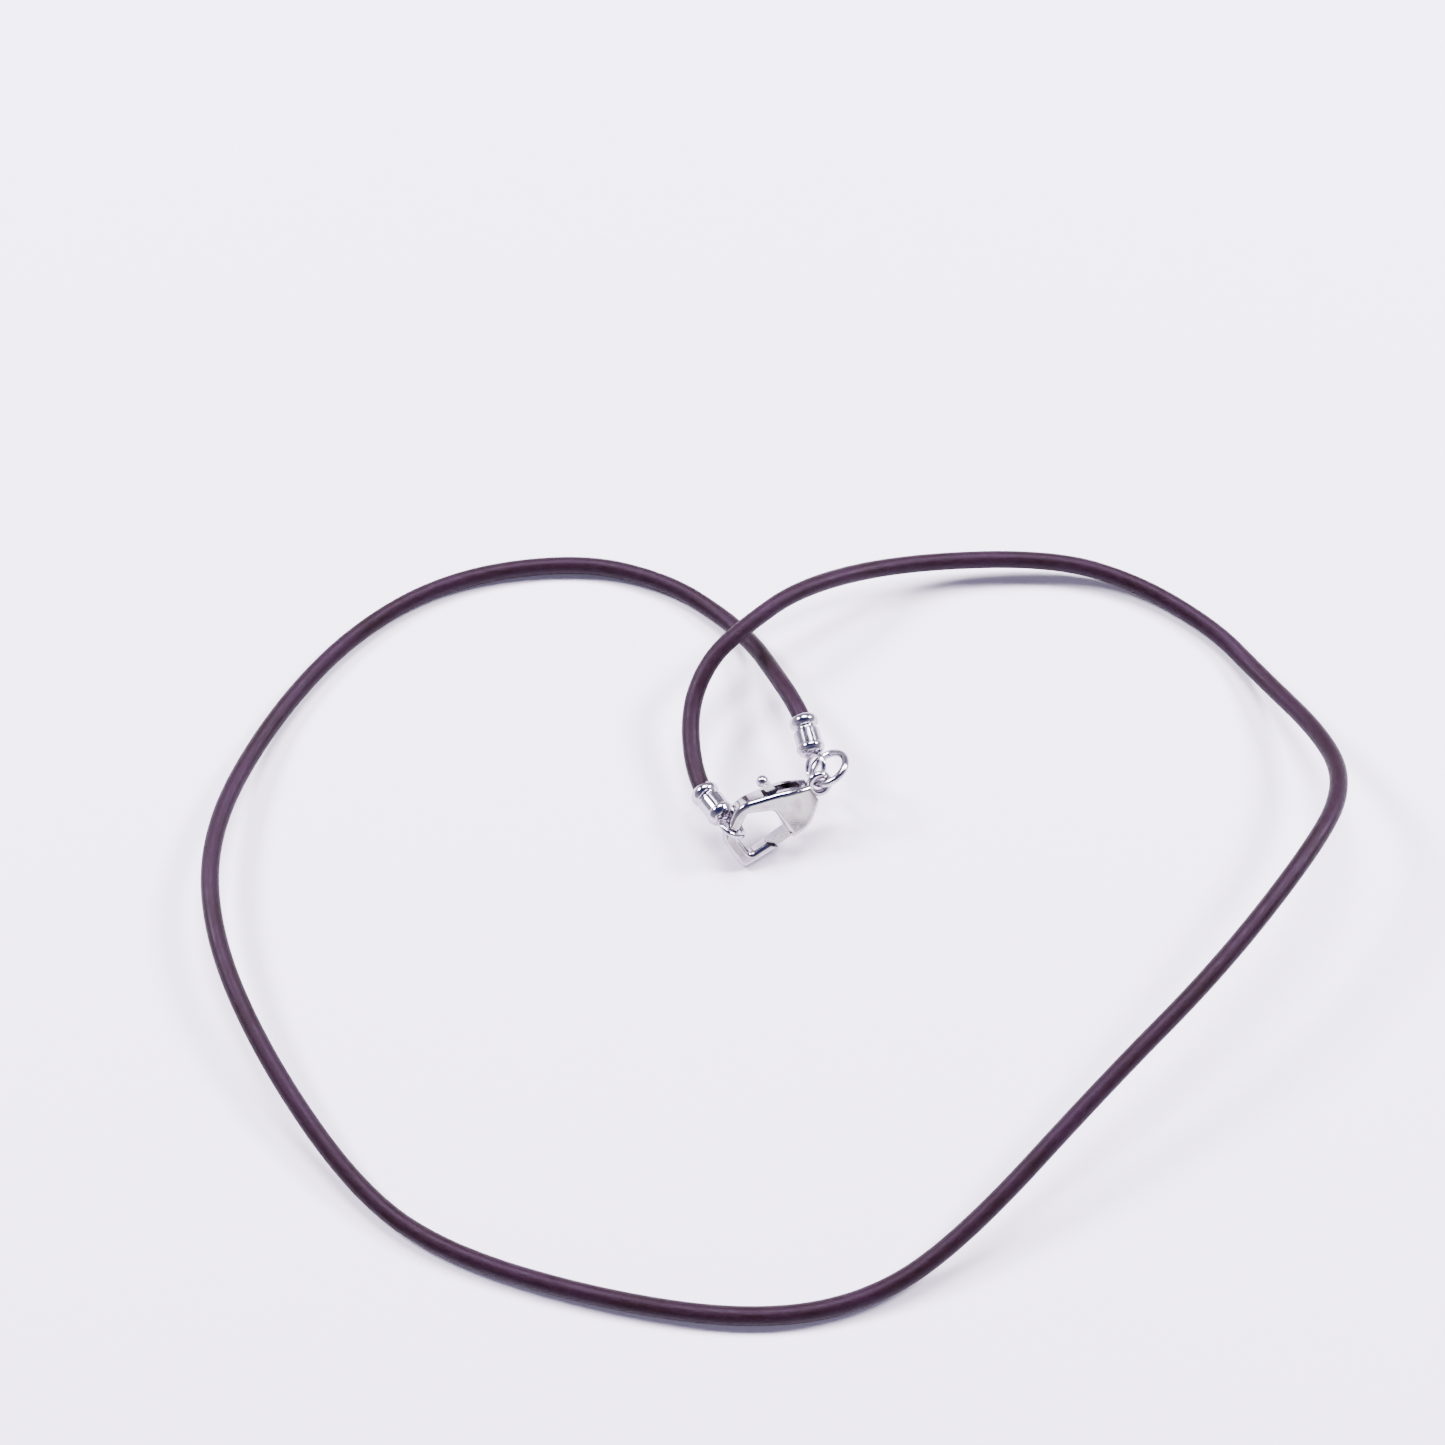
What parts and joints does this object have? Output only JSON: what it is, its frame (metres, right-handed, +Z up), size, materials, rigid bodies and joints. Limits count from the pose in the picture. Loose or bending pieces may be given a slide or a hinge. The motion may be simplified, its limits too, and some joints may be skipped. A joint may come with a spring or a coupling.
{
  "type": "leather cord necklace",
  "caption": "Round leather cord necklace lying closed, its cord crimped into metal ends that a jump ring and a lobster clasp join.",
  "frame": {"origin": "on the surface that the necklace lies on, under the middle of its metal fittings", "axes": "+Z up from the surface, +X to the viewer's right, +Y away from the viewer, towards the place where the cord crosses over itself"},
  "size_m": [0.1236, 0.0917, 0.0127],
  "materials": {
    "cord_leather": "satin",
    "polished_metal": "polished"
  },
  "bodies": {
    "necklace": {"leather_cord": "cord_leather", "left_cord_end": "polished_metal", "right_cord_end": "polished_metal", "clasp_body": "polished_metal", "clasp_rivet": "polished_metal", "jump_ring": "polished_metal"},
    "lever": {"clasp_lever": "polished_metal"}
  },
  "joints": [
    {"name": "lever_hinge", "type": "hinge", "parent": "necklace", "child": "lever", "pos_m": [0.00166, -0.00268, 0.00514], "axis": [-0.2823, 0.7807, -0.5575], "range_deg": [0, 25], "stiffness_Nm_per_rad": 0.002, "springref_deg": -17.19}
  ]
}
